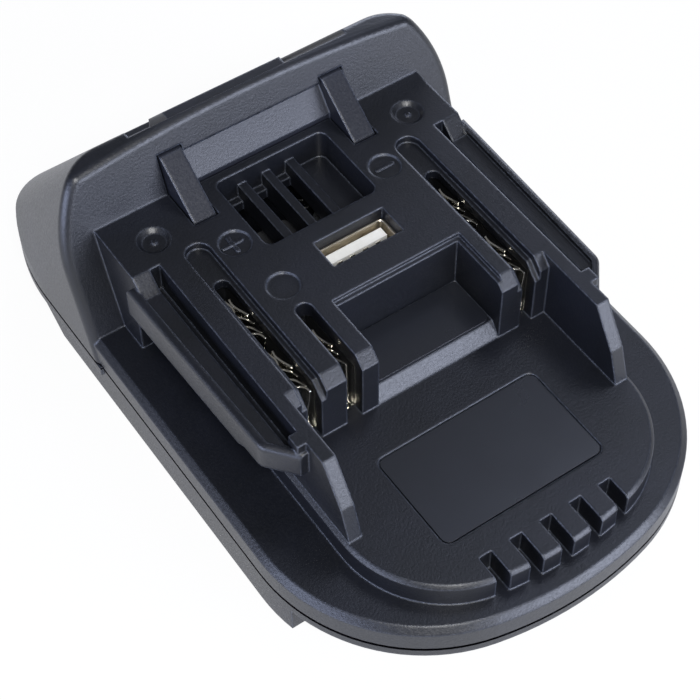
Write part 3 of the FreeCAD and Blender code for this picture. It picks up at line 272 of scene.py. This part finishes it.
# Smooth pressed, printed or cast surface: two close shades in soft spots and a very fine relief. Spot is the
# size of the spots, depth their relief and edge the rounding of the edges, all in mm.
def makePlain(name, pale, dark, roughness, spot, depth, coat=0.0, edge=0.15):
    made, tree = newMaterial(name)
    place = addNode(tree, "ShaderNodeTexCoord").outputs["Object"]
    spots = addNode(
        tree, "ShaderNodeTexNoise", {"Scale": 1 / (spot * mm), "Detail": 3.0}, Vector=place
    ).outputs["Fac"]
    colour = addNode(
        tree, "ShaderNodeMix", {"data_type": "RGBA", "in6": hexColour(pale), "in7": hexColour(dark)},
        in0=stretched(tree, spots, *noiseSpan["shade"], 0.0, 1.0),
    )
    rounded = addNode(tree, "ShaderNodeBevel", {"samples": 4, "Radius": edge * mm}).outputs["Normal"]
    bump = addNode(
        tree, "ShaderNodeBump", {"Strength": 1.0, "Distance": depth * mm}, Height=spots, Normal=rounded
    ).outputs["Normal"]
    sheen = (roughness - plainSheen, roughness + plainSheen)
    shader = addNode(
        tree, "ShaderNodeBsdfPrincipled", {"Coat Weight": coat, "Coat Roughness": coatRoughness},
        Base_Color=colour.outputs[2], Normal=bump,
        Roughness=stretched(tree, spots, *noiseSpan["gloss"], *sheen),
    )
    finishMaterial(tree, shader.outputs["BSDF"])
    return made


# Shells: charcoal with a cold cast, dull and finely grained, with a painted highlight along the edges
housingNylon = makeMoulded(
    "charcoalMouldedNylon", dark="0f1116", pale="14161d", edgeHighlightColour="565c6a",
    roughness=0.37, grainHeight=0.034, seam=True,
)
# Latch: the same nylon from a smoother mould, a shade lighter and satin, with a painted highlight along the
# edges
latchNylon = makeMoulded(
    "satinMouldedNylon", dark="191b22", pale="1e2028", edgeHighlightColour="565c6a", roughness=0.38, grainHeight=0.024
)
# Holders and terminal block: unpainted black nylon, soft and almost without a highlight, with a faint painted
# highlight along the edges
holderNylon = makeMoulded(
    "blackMouldedNylon", dark="08090b", pale="0b0c0f", edgeHighlightColour="202226", roughness=0.5, grainHeight=0.012
)
# Contacts: stamped brass under thin pale gold, bright glints on the sheet's edges and black between them
contactBrass = makeMetal(
    "goldPlatedBrass", pale="fdfaf2", dark="f5efe0", roughness=0.14,
    tarnish=1.5, lines=(4.0, 0.12, 0.12), depth=0.002, edge=0.2,
)
# Socket shell: nickel on rolled steel, a warm grey mirror that is a little blurred along the rolling
socketNickel = makeMetal(
    "nickelPlatedSteel", pale="e2dacb", dark="c4b9a6", roughness=0.34,
    tarnish=2.5, lines=(3.0, 0.15, 0.15), depth=0.003, edge=0.16,
)
# Springs: wire from a die, grey with fine dark spots
springWire = makeMetal(
    "drawnSpringSteel", pale="a8a8a8", dark="7c7d80", roughness=0.28,
    tarnish=1.2, lines=(0.2, 0.2, 0.2), depth=0.003,
)
# Screws: black oxide on steel, near black with a soft metal sheen
screwOxide = makeMetal(
    "blackOxideSteel", pale="3a3b3e", dark="242528", roughness=0.38,
    tarnish=0.9, lines=(0.4, 0.4, 0.1), depth=0.004,
)
# Capacitor cans: aluminium drawn upward from a disc, silver with faint upright lines
capacitorCan = makeMetal(
    "deepDrawnAluminium", pale="c8cacc", dark="a5a8ab", roughness=0.32,
    tarnish=2.0, lines=(0.3, 0.3, 5.0), depth=0.002,
)
# Socket tongue: white polyester, even and satin
tongueResin = makePlain(
    "whiteGlassFilledPolyester", pale="f6f6f3", dark="f0f0ec", roughness=0.38, spot=1.2, depth=0.003
)
# Board: black lacquer over woven glass, smooth under a thin gloss
boardLaminate = makePlain(
    "blackSolderMaskOnGlassEpoxy", pale="131415", dark="0f1011", roughness=0.35,
    spot=3.0, depth=0.004, coat=0.2,
)
# Inductor: pressed and fired powder, dark grey and chalky
ferriteCore = makePlain("sinteredFerrite", pale="2c2c2d", dark="222223", roughness=0.6, spot=0.6, depth=0.012)
# Chip and diode: black filled epoxy, dull with a fine tooth
chipEpoxy = makePlain("mouldedChipEpoxy", pale="1d1d1e", dark="151516", roughness=0.55, spot=0.5, depth=0.008)
# Plates: polyester film, black, flat and glossier than the nylon around it
plateFilm = makePlain(
    "blackPrintedPolyesterFilm", pale="1d1f25", dark="191b21", roughness=0.30, spot=9.0, depth=0.002, coat=0.3
)

finishes = {
    "upper_shell": housingNylon,
    "lower_shell": housingNylon,
    "latch_hook": latchNylon,
    "release_button": latchNylon,
    "latch_spring_left": springWire,
    "latch_spring_right": springWire,
    "positive_holder": holderNylon,
    "negative_holder": holderNylon,
    "sense_holder": holderNylon,
    "positive_contact": contactBrass,
    "negative_contact": contactBrass,
    "sense_contact": contactBrass,
    "usb_shell": socketNickel,
    "usb_tongue": tongueResin,
    "usb_contacts": contactBrass,
    "circuit_board": boardLaminate,
    "power_inductor": ferriteCore,
    "input_capacitor": capacitorCan,
    "output_capacitor": capacitorCan,
    "converter_chip": chipEpoxy,
    "rectifier_diode": chipEpoxy,
    "positive_blade": contactBrass,
    "negative_blade": contactBrass,
    "sense_blade": contactBrass,
    "positive_strip": contactBrass,
    "negative_strip": contactBrass,
    "sense_strip": contactBrass,
    "battery_terminal_block": holderNylon,
    "label_plate": plateFilm,
    "usb_label_plate": plateFilm,
    "case_screws": screwOxide,
}
for nodeName, finish in finishes.items():
    slots = nodes[nodeName].material_slots
    if not slots:
        nodes[nodeName].data.materials.append(finish)
    for slot in slots:
        slot.material = finish
print("finishes on", len(finishes), "nodes; without one:", sorted(set(nodes) - set(finishes)))


# Shapes as grids of points

# Four-cornered faces between neighbours of a grid. A closed side joins its last line of points to its first.
def gridFaces(rows, columns, closeRows=False, closeColumns=False):
    row = np.arange(rows if closeRows else rows - 1)
    column = np.arange(columns if closeColumns else columns - 1)
    row, column = (part.ravel() for part in np.meshgrid(row, column, indexing="ij"))
    nextRow, nextColumn = (row + 1) % rows, (column + 1) % columns
    corners = (row * columns + column, nextRow * columns + column, nextRow * columns + nextColumn,
               row * columns + nextColumn)
    return np.stack(corners, axis=1).tolist()


# A profile that is carried along a path: at each point of the path it stands square to the path, with its
# first number toward the side and its second number up. It may be one profile, or one for each point.
def carried(path, profile):
    path = np.asarray(path, float)
    tangent = np.gradient(path, axis=0)
    tangent /= np.linalg.norm(tangent, axis=1, keepdims=True)
    side = np.cross(tangent, (0.0, 0.0, 1.0))
    side /= np.linalg.norm(side, axis=1, keepdims=True)
    above = np.cross(side, tangent)
    profile = np.asarray(profile, float)
    if profile.ndim == 2:
        profile = np.repeat(profile[None], len(path), axis=0)
    return path[:, None] + side[:, None] * profile[..., :1] + above[:, None] * profile[..., 1:]


# Smooth line through a few points: each coordinate is a natural cubic in the length along the straight runs
def smoothLine(points, count):
    points = np.asarray(points, float)
    steps = np.linalg.norm(np.diff(points, axis=0), axis=1)
    at = np.concatenate([[0.0], np.cumsum(steps)])
    bend = np.zeros((len(at), len(at)))
    pull = np.zeros_like(points)
    bend[0, 0] = bend[-1, -1] = 1.0
    for i in range(1, len(at) - 1):
        bend[i, i - 1:i + 2] = steps[i - 1], 2 * (steps[i - 1] + steps[i]), steps[i]
        pull[i] = 6 * ((points[i + 1] - points[i]) / steps[i] - (points[i] - points[i - 1]) / steps[i - 1])
    second = np.linalg.solve(bend, pull)
    where = np.linspace(0.0, at[-1], count)
    i = np.clip(np.searchsorted(at, where, side="right") - 1, 0, len(at) - 2)
    step = steps[i][:, None]
    after, before = (where - at[i])[:, None], (at[i + 1] - where)[:, None]
    return (
        (second[i] * before ** 3 + second[i + 1] * after ** 3) / (6 * step)
        + (points[i] / step - second[i] * step / 6) * before
        + (points[i + 1] / step - second[i + 1] * step / 6) * after
    )


# Closed profile of a rod: points on a circle
def circleProfile(radius, count):
    angle = np.linspace(0, 2 * np.pi, count, endpoint=False)
    return np.stack([radius * np.cos(angle), radius * np.sin(angle)], axis=1)


# A grid whose columns close, with a flat cap on its first and last row
def cappedTube(grid):
    rows, columns = grid.shape[:2]
    last = (rows - 1) * columns
    caps = [list(range(columns)), list(range(last, last + columns))]
    return grid.reshape(-1, 3), gridFaces(rows, columns, closeColumns=True) + caps


sharpAngle = 40              # degrees


# One object on the housing from several such shapes in mm. Its normals are turned outward, and edges over
# sharpAngle stay sharp. Stands names the CAD nodes that it stands for.
def makePiece(name, shapes, finish, stands=()):
    verts, faces = [], []
    for points, corners in shapes:
        faces += [[corner + len(verts) for corner in face] for face in corners]
        verts += (np.asarray(points) * mm).tolist()
    mesh = bpy.data.meshes.new(name)
    mesh.from_pydata(verts, [], faces)
    form = bmesh.new()
    form.from_mesh(mesh)
    bmesh.ops.recalc_face_normals(form, faces=form.faces)
    form.to_mesh(mesh)
    form.free()
    mesh.shade_smooth()
    mesh.set_sharp_from_angle(angle=math.radians(sharpAngle))
    mesh.materials.append(finish)
    piece = bpy.data.objects.new(name, mesh)
    bpy.context.scene.collection.objects.link(piece)
    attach(piece, "housing")
    if stands:
        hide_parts(*stands)
    return piece


# Leaf contacts: thin formed strips that stand in the slots. Near its top a strip follows a curve in plan, and
# toward its foot it straightens out beside the wall of the channel. All in mm.
leafShape = {
    "thickness": 0.36,
    "foot": 16.0,            # height of the foot
    "footSide": 1.1,         # distance of a foot from the middle of the slot
    "strips": [
        # side of its foot, height of its top, points in plan from the far end toward the nose
        (1, 27.25, [(0.05, 0.0), (-0.12, -0.9), (0.02, -2.0), (0.42, -3.2), (0.95, -4.3)]),
        (-1, 27.25, [(-0.85, 0.1), (-0.62, -0.7), (-0.48, -1.5), (-0.55, -2.3), (-0.95, -3.1)]),
        (1, 26.5, [(-0.95, -2.7), (-0.5, -3.3), (0.15, -4.0), (0.6, -4.8), (0.95, -5.8)]),
        (1, 26.5, [(-0.95, -4.9), (-0.55, -5.5), (0.1, -6.2), (0.55, -7.1), (1.0, -8.1)]),
        (-1, 27.1, [(-1.0, -7.5), (-0.65, -7.75), (0.0, -8.2), (0.45, -8.8), (0.6, -9.7)]),
    ],
    "contacts": {
        # node: middle of the slot, far ends of its groups, strips of each group, ends of the base strip
        "positive": (-20.5, (4.85, -7.6), (0, 1, 2, 3, 4), (8.3, -16.8)),
        "negative": (20.5, (4.8, -7.7), (0, 1, 2, 3, 4), (8.3, -16.8)),
        "sense": (-13.1, (-7.7,), (0, 1, 2, 3), (-3.6, -16.8)),
    },
    "baseHalf": 1.38,        # channel at the foot: half its width, its height, and where it lies
    "baseHeight": 1.5,
    "baseFloor": 15.25,
    "planPoints": 25,
    "heightPoints": 13,
    "basePoints": 6,
}


# Strip: across = smooth line's x, blended by a smooth step of the height into the foot's straight line, and
# the strip's two faces lie half its thickness to each side of that
def leafStrip(middle, farEnd, foot, top, plan, shape=leafShape):
    line = smoothLine(plan, shape["planPoints"])
    height = np.linspace(0.0, 1.0, shape["heightPoints"])[:, None]
    share = height ** 2 * (3 - 2 * height)
    across = line[None, :, 0] * share + foot * shape["footSide"] * (1 - share)
    along = np.repeat(line[None, :, 1], len(height), axis=0) + farEnd
    level = shape["foot"] + (top - shape["foot"]) * height + 0 * across
    slope = np.gradient(across, axis=1) / np.gradient(along, axis=1)
    offset = shape["thickness"] / 2 * np.sqrt(1 + slope ** 2)
    sides = [np.stack([middle + across + sign * offset, along, level], axis=-1) for sign in (1, -1)]
    ring = np.concatenate([sides[0], sides[1][:, ::-1]], axis=1)
    return cappedTube(ring)


# Contact: a U-shaped channel along the slot, and in it the chosen strips once for each group
def makeContact(name, middle, farEnds, chosen, ends, shape=leafShape):
    half, high, low = shape["baseHalf"], shape["baseHeight"], shape["baseFloor"]
    thick = shape["thickness"]
    channel = [(-half, 0), (half, 0), (half, high), (half - thick, high), (half - thick, thick),
               (thick - half, thick), (thick - half, high), (-half, high)]
    path = [(middle, y, low) for y in np.linspace(*ends, shape["basePoints"])]
    shapes = [cappedTube(carried(path, channel))]
    for farEnd in farEnds:
        for i in chosen:
            foot, top, plan = shape["strips"][i]
            shapes.append(leafStrip(middle, farEnd, foot, top, plan))
    stands = (f"{name}_contact",)
    makePiece(f"{name}_contact_leaves", shapes, contactBrass, stands=stands)


for name, facts in leafShape["contacts"].items():
    makeContact(name, *facts)
print("leaf contacts formed")


# Latch springs: a rod carried along a helix, whose first and last turn lie flat. All in mm.
springShape = {
    "places": {"left": -10.0, "right": 10.0},
    "y": 30.2,
    "radius": 2.7,
    "wire": 0.7,
    "bottom": 7.15,
    "top": 20.0,
    "turns": 7.5,
    "flatTurns": 0.9,
    "travel": 6.6,           # of the latch, by which the real coil shortens; the coil is wound at one length
    "turnPoints": 28,
    "wirePoints": 10,
}


# Height along the turns: level while a turn lies flat, and an even climb between
def makeSpring(side, shape=springShape):
    turn = np.linspace(0, shape["turns"], int(shape["turns"] * shape["turnPoints"]))
    rise = np.clip((turn - shape["flatTurns"]) / (shape["turns"] - 2 * shape["flatTurns"]), 0, 1)
    half = shape["wire"] / 2
    level = shape["bottom"] + half + (shape["top"] - shape["bottom"] - shape["wire"]) * rise
    angle = 2 * np.pi * turn
    x, y = shape["places"][side], shape["y"]
    path = np.stack([x + shape["radius"] * np.cos(angle), y + shape["radius"] * np.sin(angle), level], axis=1)
    wire = cappedTube(carried(path, circleProfile(half, shape["wirePoints"])))
    stands = (f"latch_spring_{side}",)
    coil = makePiece(f"latch_spring_coil_{side}", [wire], springWire, stands=stands)
    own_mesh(coil)


for side in springShape["places"]:
    makeSpring(side)
print("springs wound")


# Case screws: pan head with a cross recess that looks down, and a shank with a coarse thread. All in mm.
screwShape = {
    "places": [(18.0, -41.0), (-18.0, -41.0), (24.0, 46.0), (-24.0, 46.0)],
    "headRadius": 2.8,
    "headFace": 5.3,         # lowest point of the head
    "headBack": 6.3,
    "dome": 0.45,
    "crossLength": 1.55,
    "crossHalf": 0.42,
    "crossDepth": 0.75,
    "crossSideSlope": 0.16,  # width over which the side of a bar sinks
    "crossEndSlope": 0.35,   # the same at its ends
    "shankRadius": 1.5,
    "shankTop": 13.3,
    "shankInHead": 0.1,
    "threadPitch": 1.3,
    "threadDepth": 0.32,
    "tipLength": 1.5,
    "tipShare": 0.35,        # of the radius, at the tip
    "crossRings": (0.02, 0.62, 15),   # shares of the head's radius and how many rings, over the cross
    "rimRings": (0.7, 1.0, 6),        # and outside it
    "headPoints": 64,
    "shankRows": 90,
    "shankPoints": 20,
}


# Head: the height of its face is a shallow dome of the distance from the middle, and a straight ramp sinks it
# inside either bar of the cross. Thread: the radius is a triangle wave of height less the turn.
def makeScrews(shape=screwShape):
    rings = np.concatenate([np.linspace(*shape["crossRings"]), np.linspace(*shape["rimRings"])])
    rings = rings * shape["headRadius"]
    angle = np.linspace(0, 2 * np.pi, shape["headPoints"], endpoint=False)
    radius, turn = np.meshgrid(rings, angle, indexing="ij")
    x, y = radius * np.cos(turn), radius * np.sin(turn)

    def bar(along, across):
        inside = np.clip((shape["crossHalf"] - np.abs(across)) / shape["crossSideSlope"] + 0.5, 0, 1)
        return inside * np.clip((shape["crossLength"] - np.abs(along)) / shape["crossEndSlope"] + 0.5, 0, 1)

    sunk = np.maximum(bar(x, y), bar(y, x)) * shape["crossDepth"]
    face = shape["headFace"] + shape["dome"] * (radius / shape["headRadius"]) ** 3 + sunk
    rim = np.stack([x[-1], y[-1], np.full(len(angle), shape["headBack"])], axis=-1)
    head = np.concatenate([np.stack([x, y, face], axis=-1), rim[None]])
    level = np.linspace(shape["headBack"] - shape["shankInHead"], shape["shankTop"], shape["shankRows"])
    turn = np.linspace(0, 2 * np.pi, shape["shankPoints"], endpoint=False)
    level, turn = np.meshgrid(level, turn, indexing="ij")
    wave = np.abs(((level / shape["threadPitch"] - turn / (2 * np.pi)) % 1.0) * 2 - 1)
    point = np.clip((shape["shankTop"] - level) / shape["tipLength"], shape["tipShare"], 1.0)
    reach = (shape["shankRadius"] - shape["threadDepth"] * wave) * point
    shank = np.stack([reach * np.cos(turn), reach * np.sin(turn), level], axis=-1)
    shapes = []
    for place in shape["places"]:
        shift = np.array([*place, 0.0])
        shapes += [cappedTube(head + shift), cappedTube(shank + shift)]
    makePiece("case_screws_cross_recess", shapes, screwOxide, stands=("case_screws",))


makeScrews()
print("screws cut")


# Socket shell: folded sheet with round corners, whose mouth is turned out a little. All in mm.
socketShape = {
    "middle": (2.3, 1.85),
    "half": (6.55, 2.85),
    "corner": 0.9,
    "top": 27.85,
    "section": [
        # how far inside the outline, how far below the mouth
        (0.0, 14.05), (0.0, 1.2), (-0.12, 0.35), (-0.12, 0.1),
        (0.15, 0.0), (0.3, 0.12), (0.3, 1.2), (0.3, 14.05),
    ],
    "points": 48,
}


# Outline: each corner point of a rectangle pulled in by the corner radius, plus a circle of that radius. The
# wall is carried round as a loop: up the outside, over the mouth and down the inside.
def makeSocketShell(shape=socketShape):
    count = shape["points"]
    angle = np.linspace(0, 2 * np.pi, count, endpoint=False) + np.pi / count
    arc = np.stack([np.cos(angle), np.sin(angle)], axis=1)
    middle, half = np.array(shape["middle"]), np.array(shape["half"])
    rows = []
    for inset, depth in shape["section"]:
        flat = middle + np.sign(arc) * (half - shape["corner"]) + arc * (shape["corner"] - inset)
        rows.append(np.column_stack([flat, np.full(count, shape["top"] - depth)]))
    grid = np.array(rows)
    shapes = [(grid.reshape(-1, 3), gridFaces(len(rows), count, closeRows=True, closeColumns=True))]
    makePiece("usb_shell_folded", shapes, socketNickel, stands=("usb_shell",))


makeSocketShell()
print("socket shell folded")


# Raised plus and minus on two of the round fields in the deck. All in mm.
markShape = {
    "floor": 29.8,
    "height": 0.28,
    "half": 0.4,
    "endShare": 0.1,         # of the full width, at the very end of a bar
    "endHeight": 0.3,        # power by which the height falls off with the width
    "points": 25,
    "arch": [(-1, -0.3), (-0.95, 0.6), (-0.75, 0.93), (0, 1), (0.75, 0.93), (0.95, 0.6), (1, -0.3)],
    "bars": {
        # name: middle, half length, along x or y
        "plus": [((-14.95, 12.1), 2.1, "x"), ((-14.95, 12.1), 2.0, "y")],
        "minus": [((14.6, 12.0), 1.9, "x")],
    },
}


# Bar: a flattened arch carried along a straight line. Near both ends its width falls off as a circle does.
def makeMark(name, bars, shape=markShape):
    shapes = []
    for middle, length, axis in bars:
        share = np.sin(np.linspace(-1, 1, shape["points"]) * np.pi / 2)
        path = np.zeros((len(share), 3))
        path[:] = (*middle, shape["floor"])
        path[:, "xy".index(axis)] += share * length
        pastArc = np.clip((np.abs(share) * length - length + shape["half"]) / shape["half"], 0, 1)
        width = np.sqrt(np.clip(1 - pastArc ** 2, shape["endShare"] ** 2, 1))
        height = shape["height"] * width ** shape["endHeight"]
        profile = np.array(shape["arch"])[None] * np.stack([width * shape["half"], height], axis=1)[:, None]
        shapes.append(cappedTube(carried(path, profile)))
    makePiece(f"polarity_mark_{name}", shapes, housingNylon)


for name, bars in markShape["bars"].items():
    makeMark(name, bars)
print("marks raised")


# Floor, light and background
studio = {
    "floorHalf": 1.6,        # m
    "floorDrop": 0.0002,     # m under the object
    "floorColour": "ececec",
    "floorGlow": 0.92,       # share of the floor's look to the camera that is plain white
    "floorMirror": 0.35,     # the same in reflections, lower so that the object's shadow shows in them
    "worldLight": 0.12,      # strength of the world, which is 1 to the camera
    "lamps": [
        # name, place in m, aim, width and height in m, watts, colour
        ("keyPanel", (-0.30, -0.70, 0.95), (0.0, 0.0, 0.02), 0.35, 0.35, 13.0, "ffffff"),
        ("sheenPanel", (0.42, 0.16, 0.90), (0.0, -0.03, 0.02), 0.30, 0.30, 1.0, "dde6ff"),
        ("leftPanel", (-0.95, -0.10, 0.22), (0.0, 0.0, 0.02), 0.9, 0.36, 9.0, "d0dcff"),
        ("frontPanel", (0.24, -0.60, 0.18), (0.0, -0.03, 0.0), 0.6, 0.24, 5.5, "e0e8ff"),
        ("backPanel", (0.66, 0.66, 0.24), (0.0, 0.0, 0.02), 0.9, 0.32, 5.0, "e0e8ff"),
    ],
}


def makeStudio(facts):
    side, level = facts["floorHalf"], -facts["floorDrop"]
    mesh = bpy.data.meshes.new("studioFloor")
    corners = [(-side, -side, level), (side, -side, level), (side, side, level), (-side, side, level)]
    mesh.from_pydata(corners, [], [(0, 1, 2, 3)])
    floor = bpy.data.objects.new("studioFloor", mesh)
    bpy.context.scene.collection.objects.link(floor)
    made, tree = newMaterial("paleFloor")
    seen = addNode(tree, "ShaderNodeLightPath").outputs
    glows = [
        addNode(tree, "ShaderNodeMath", {"operation": "MULTIPLY", "in1": part}, in0=seen[ray])
        for ray, part in (("Is Camera Ray", facts["floorGlow"]), ("Is Glossy Ray", facts["floorMirror"]))
    ]
    share = addNode(
        tree, "ShaderNodeMath", {"operation": "MAXIMUM"},
        in0=glows[0].outputs["Value"], in1=glows[1].outputs["Value"],
    )
    matt = addNode(tree, "ShaderNodeBsdfDiffuse", {"Color": hexColour(facts["floorColour"])})
    white = addNode(tree, "ShaderNodeEmission", {"Color": (1, 1, 1, 1), "Strength": 1.0})
    mixed = addNode(
        tree, "ShaderNodeMixShader",
        in0=share.outputs["Value"], in1=matt.outputs["BSDF"], in2=white.outputs["Emission"],
    )
    finishMaterial(tree, mixed.outputs["Shader"])
    mesh.materials.append(made)
    world = bpy.data.worlds.new("studioWorld")
    world.use_nodes = True
    tree = world.node_tree
    tree.nodes.clear()
    seen = addNode(tree, "ShaderNodeLightPath").outputs
    either = addNode(
        tree, "ShaderNodeMath", {"operation": "MAXIMUM"}, in0=seen["Is Camera Ray"],
        in1=seen["Is Transmission Ray"],
    ).outputs["Value"]
    strength = addNode(
        tree, "ShaderNodeMapRange", {"To Min": facts["worldLight"], "To Max": 1.0}, Value=either
    ).outputs["Result"]
    sky = addNode(tree, "ShaderNodeBackground", {"Color": (1, 1, 1, 1)}, Strength=strength)
    addNode(tree, "ShaderNodeOutputWorld", Surface=sky.outputs["Background"])
    bpy.context.scene.world = world
    for name, place, aim, width, height, watts, colour in facts["lamps"]:
        lamp = bpy.data.lights.new(name, "AREA")
        lamp.shape = "RECTANGLE"
        lamp.size = width
        lamp.size_y = height
        lamp.energy = watts
        lamp.color = hexColour(colour)[:3]
        holder = bpy.data.objects.new(name, lamp)
        holder.location = place
        holder.rotation_euler = (Vector(aim) - Vector(place)).to_track_quat("-Z", "Y").to_euler()
        bpy.context.scene.collection.objects.link(holder)


makeStudio(studio)
bpy.context.scene.view_settings.view_transform = "Standard"
print("studio ready")
